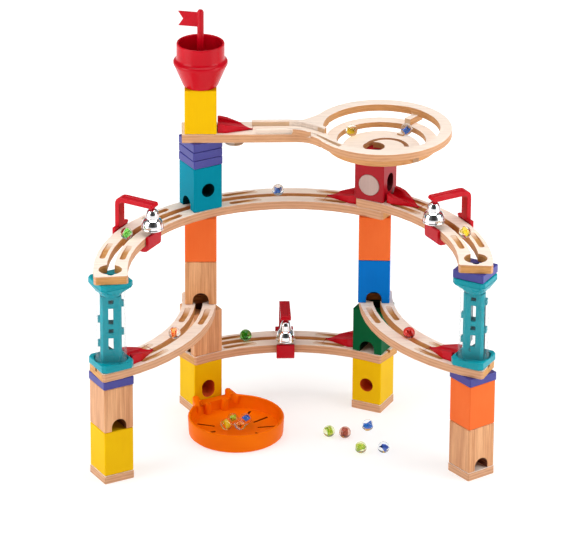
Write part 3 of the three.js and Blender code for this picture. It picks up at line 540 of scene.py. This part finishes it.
# ---------------------------------------------------------------- marbles
glass_tints = {
    "green": ((236, 250, 234), (50, 170, 40), (140, 215, 90)),
    "yellow": ((254, 252, 232), (236, 205, 0), (214, 190, 20)),
    "lime": ((234, 242, 196), (140, 192, 44), (206, 212, 80)),
    "leaf": ((120, 196, 96), (40, 140, 30), (90, 170, 50)),
    "amber": ((254, 246, 240), (214, 34, 24), (244, 170, 60)),
    "red": ((226, 52, 40), (206, 26, 18), (176, 18, 16)),
    "rust": ((222, 178, 164), (190, 92, 70), (170, 110, 84)),
    "clear_blue": ((246, 251, 254), (0, 108, 206), (20, 92, 190)),
    "navy": ((236, 244, 254), (10, 66, 176), (16, 84, 190)),
}
glass_looks = {}
core_looks = {}
for key, (clear, leaf, second) in glass_tints.items():
    glass_looks[key] = marble_glass("glass_%s_look" % key, clear)
    core_looks[key] = marble_core("core_%s_look" % key, leaf, second)
glass_slots = {"green": "glass_green", "yellow": "glass_yellow", "lime": "glass_lime", "leaf": "glass_lime",
               "amber": "glass_amber", "red": "glass_red", "rust": "glass_amber", "clear_blue": "glass_blue",
               "navy": "glass_blue"}
RADIUS = 7.95
LEAF_SPREAD = 2.094  # radians between the three leaves
LEAF_TWIST = 1.1


def sphere_profile(radius, steps=24):
    angles = [math.pi * i / steps for i in range(steps + 1)]
    return [(radius * math.sin(a), -radius * math.cos(a)) for a in angles]


def vane(name, radius, phase, twist, matrix):
    """One twisted leaf of coloured glass inside a marble, thick in the middle and thin at its rim."""
    rows, columns = 17, 7
    verts, faces = [], []
    for side in (-1, 1):
        for i in range(rows):
            z = radius * 0.5 * (2 * i / (rows - 1) - 1)
            reach = math.sqrt(max(radius ** 2 - z ** 2, 0.0)) * 0.46
            angle = phase + twist * z / radius
            for j in range(columns):
                r = reach * j / (columns - 1)
                bulge = 0.12 + 1.3 * (1 - j / (columns - 1)) * (1 - (z / radius) ** 2)
                thick = 0 if j == columns - 1 else side * bulge
                along, across = math.cos(angle), math.sin(angle)
                verts.append((r * along - thick * across, r * across + thick * along, z))
    grid = rows * columns
    for i in range(rows - 1):
        for j in range(columns - 1):
            a = i * columns + j
            faces.append((a, a + 1, a + columns + 1, a + columns))
            faces.append((grid + a, grid + a + columns, grid + a + columns + 1, grid + a + 1))
    return mesh_from(name, verts, faces, matrix)


def marble(name, at, colour, body, lean, *replaced):
    """A glass marble with three twisted leaves of colour in it."""
    chance = random.Random(name)
    spin = Matrix.Rotation(chance.uniform(0, 6.28), 4, "Z")
    place = Matrix.Translation(at) @ spin @ Matrix.Rotation(lean, 4, "X")
    slot = glass_slots[colour]
    shape = lathe(name, sphere_profile(RADIUS), place, 48)
    ball = piece(name + "_ball", shape, body, slot, glass_looks[colour], *replaced)
    soften(ball, 0, angle=80)
    for k in range(3):
        leaf_mesh = vane(name, RADIUS, k * LEAF_SPREAD, LEAF_TWIST, place)
        leaf = piece("%s_leaf_%d" % (name, k + 1), leaf_mesh, body, slot, core_looks[colour])
        soften(leaf, 0, angle=80)


rail_marbles = {"marble_green_upper": "green", "marble_blue": "clear_blue", "marble_yellow": "yellow",
                "marble_green_lower": "leaf", "marble_red_left": "amber", "marble_red_right": "red"}
for node, colour in rail_marbles.items():
    marble(node, middle(node), colour, node, 0.9, node)

# loose marbles on the floor, as places from the middle of the rails' circle
floor_marbles = ((53, 107, "lime"), (74, 103, "rust"), (105, 124, "clear_blue"), (93, 58, "lime"),
                 (123, 58, "navy"))
for k, (x, y, colour) in enumerate(floor_marbles):
    at = ring_centre + Vector((x, y, 8)) * MM
    marble("floor_marble_%d" % (k + 1), at, colour, "run", 0.5 + 0.4 * k)

# marbles in the tray, as places from the middle of the rails' circle
tray_marbles = ((-83, 117, "yellow"), (-74, 132, "lime"), (-64.5, 117, "amber"), (-57, 132, "clear_blue"))
for k, (x, y, colour) in enumerate(tray_marbles):
    at = ring_centre + Vector((x, y, 14.6)) * MM
    marble("tray_marble_%d" % (k + 1), at, colour, "tray", 0.7 + 0.5 * k)

# marbles on the spiral's disc, against the wall of the ring above it
DISC_THICK = 8.3 * MM
SPIRAL_SEAT = 50.2 * MM  # from the disc's axis to a marble against the wall
disc_top = box_ends("c_red_block")[1].z + DISC_THICK
for k, (angle, colour) in enumerate(((139, "yellow"), (46, "clear_blue"))):
    a = math.radians(angle)
    reach = Vector((math.cos(a), math.sin(a), 0)) * SPIRAL_SEAT
    at = Vector((spiral_centre.x, spiral_centre.y, disc_top + 8 * MM)) + reach
    marble("spiral_marble_%d" % (k + 1), at, colour, "run", 1.2 + k)

# ---------------------------------------------------------------- floor, light and camera
floor_corners = [(-9000, -9000, 0), (9000, -9000, 0), (9000, 14000, 0), (-9000, 14000, 0)]
floor_mesh = mesh_from("floor", floor_corners, [(0, 1, 2, 3)])
floor = bpy.data.objects.new("floor", floor_mesh)
scene.collection.objects.link(floor)
floor.location.z = -0.0002
ground = Nodes("floor_look")
paper = ground.noise((3, 3, 3), detail=2)
ground.colour(ground.ramp(paper, (0.2, (0.51, 0.51, 0.51, 1)), (0.8, (0.53, 0.53, 0.53, 1))))
ground.set(Roughness=0.9, Specular_IOR_Level=0.1, Emission_Color=(1, 1, 1, 1))
# the paper glows less around the object, so that soft shadows show there
across = ground.math("SUBTRACT", ground.part(ground.place, "X"), ring_centre.x)
along = ground.math("SUBTRACT", ground.part(ground.place, "Y"), ring_centre.y + 0.05)
squares = ground.math("ADD", ground.math("POWER", across, 2.0), ground.math("POWER", along, 2.0))
away = ground.math("SQRT", squares)
glow = ground.tree.nodes.new("ShaderNodeMapRange")
for name, value in (("From Min", 0.3), ("From Max", 0.95), ("To Min", 0.57), ("To Max", 0.9)):
    glow.inputs[name].default_value = value
ground.link(away, glow.inputs["Value"])
ground.link(glow.outputs[0], ground.shader.inputs["Emission Strength"])
floor_mesh.materials.append(ground.material)

world = bpy.data.worlds.new("studio")
scene.world = world
world.use_nodes = True
tree = world.node_tree
tree.nodes.clear()
world_out = tree.nodes.new("ShaderNodeOutputWorld")
backdrop = tree.nodes.new("ShaderNodeBackground")
coords = tree.nodes.new("ShaderNodeTexCoord")
split = tree.nodes.new("ShaderNodeSeparateXYZ")
tree.links.new(coords.outputs["Generated"], split.inputs[0])
# darker towards the front of the studio and bright at both sides
shade = tree.nodes.new("ShaderNodeMapRange")
shade.inputs["From Min"].default_value = 0.25
shade.inputs["From Max"].default_value = 0.75
shade.inputs["To Min"].default_value = 0.2
shade.inputs["To Max"].default_value = 1.0
side = tree.nodes.new("ShaderNodeMath")
side.operation = "ABSOLUTE"
tree.links.new(split.outputs[0], side.inputs[0])
tree.links.new(side.outputs[0], shade.inputs["Value"])
back = tree.nodes.new("ShaderNodeMapRange")
back.inputs["From Min"].default_value = -0.2
back.inputs["From Max"].default_value = 0.5
back.inputs["To Min"].default_value = 0.0
back.inputs["To Max"].default_value = 1.0
tree.links.new(split.outputs[1], back.inputs["Value"])
brightest = tree.nodes.new("ShaderNodeMath")
brightest.operation = "MAXIMUM"
tree.links.new(shade.outputs[0], brightest.inputs[0])
tree.links.new(back.outputs[0], brightest.inputs[1])
tree.links.new(brightest.outputs[0], backdrop.inputs["Color"])
backdrop.inputs["Strength"].default_value = 0.22
tree.links.new(backdrop.outputs[0], world_out.inputs["Surface"])


def softbox(name, at, towards, wide, high, power, colour=(1, 1, 1), mirrored=True):
    data = bpy.data.lights.new(name, "AREA")
    data.shape = "RECTANGLE"
    data.size, data.size_y = wide, high
    data.energy = power
    data.color = colour
    lamp = bpy.data.objects.new(name, data)
    scene.collection.objects.link(lamp)
    lamp.location = at
    lamp.visible_glossy = mirrored
    lamp.rotation_mode = "QUATERNION"
    lamp.rotation_quaternion = (Vector(towards) - Vector(at)).to_track_quat("-Z", "Y")
    return lamp


aim = ring_centre + Vector((0, 0.1, 0.28))
softbox("left_light", ring_centre + Vector((-0.98, -0.24, 0.62)), aim, 0.7, 1.0, 7.8)
softbox("right_light", ring_centre + Vector((1.0, -0.26, 0.62)), aim, 0.7, 1.0, 7.8)
softbox("front_light", ring_centre + Vector((0.1, -2.5, 0.95)), aim, 1.2, 0.9, 8.0, (1.0, 0.5, 0.3), False)
softbox("top_light", ring_centre + Vector((0, 0.3, 2.4)), aim, 2.2, 2.2, 39)

CAMERA_DISTANCE = 6.6818
camera_data = bpy.data.cameras.new("camera")
camera = bpy.data.objects.new("camera", camera_data)
scene.collection.objects.link(camera)
camera_data.lens = 330.5
camera_data.sensor_width = 36.0
camera_data.clip_start, camera_data.clip_end = 0.5, 60.0
azimuth, elevation, roll = math.radians(1.93), math.radians(24.57), math.radians(0.355)
target = ring_centre + Vector((-12.3, 0.1, 293.6)) * MM
level = math.cos(elevation)
behind = Vector((-math.sin(azimuth) * level, -math.cos(azimuth) * level, math.sin(elevation)))
camera.location = target + behind * CAMERA_DISTANCE
forward = -behind
right = forward.cross(Vector((0, 0, 1))).normalized()
up = right.cross(forward)
right, up = right * math.cos(roll) + up * math.sin(roll), up * math.cos(roll) - right * math.sin(roll)
camera.matrix_world = Matrix((
    (right.x, up.x, -forward.x, camera.location.x),
    (right.y, up.y, -forward.y, camera.location.y),
    (right.z, up.z, -forward.z, camera.location.z),
    (0, 0, 0, 1),
))
scene.camera = camera
scene.view_settings.view_transform = "Standard"
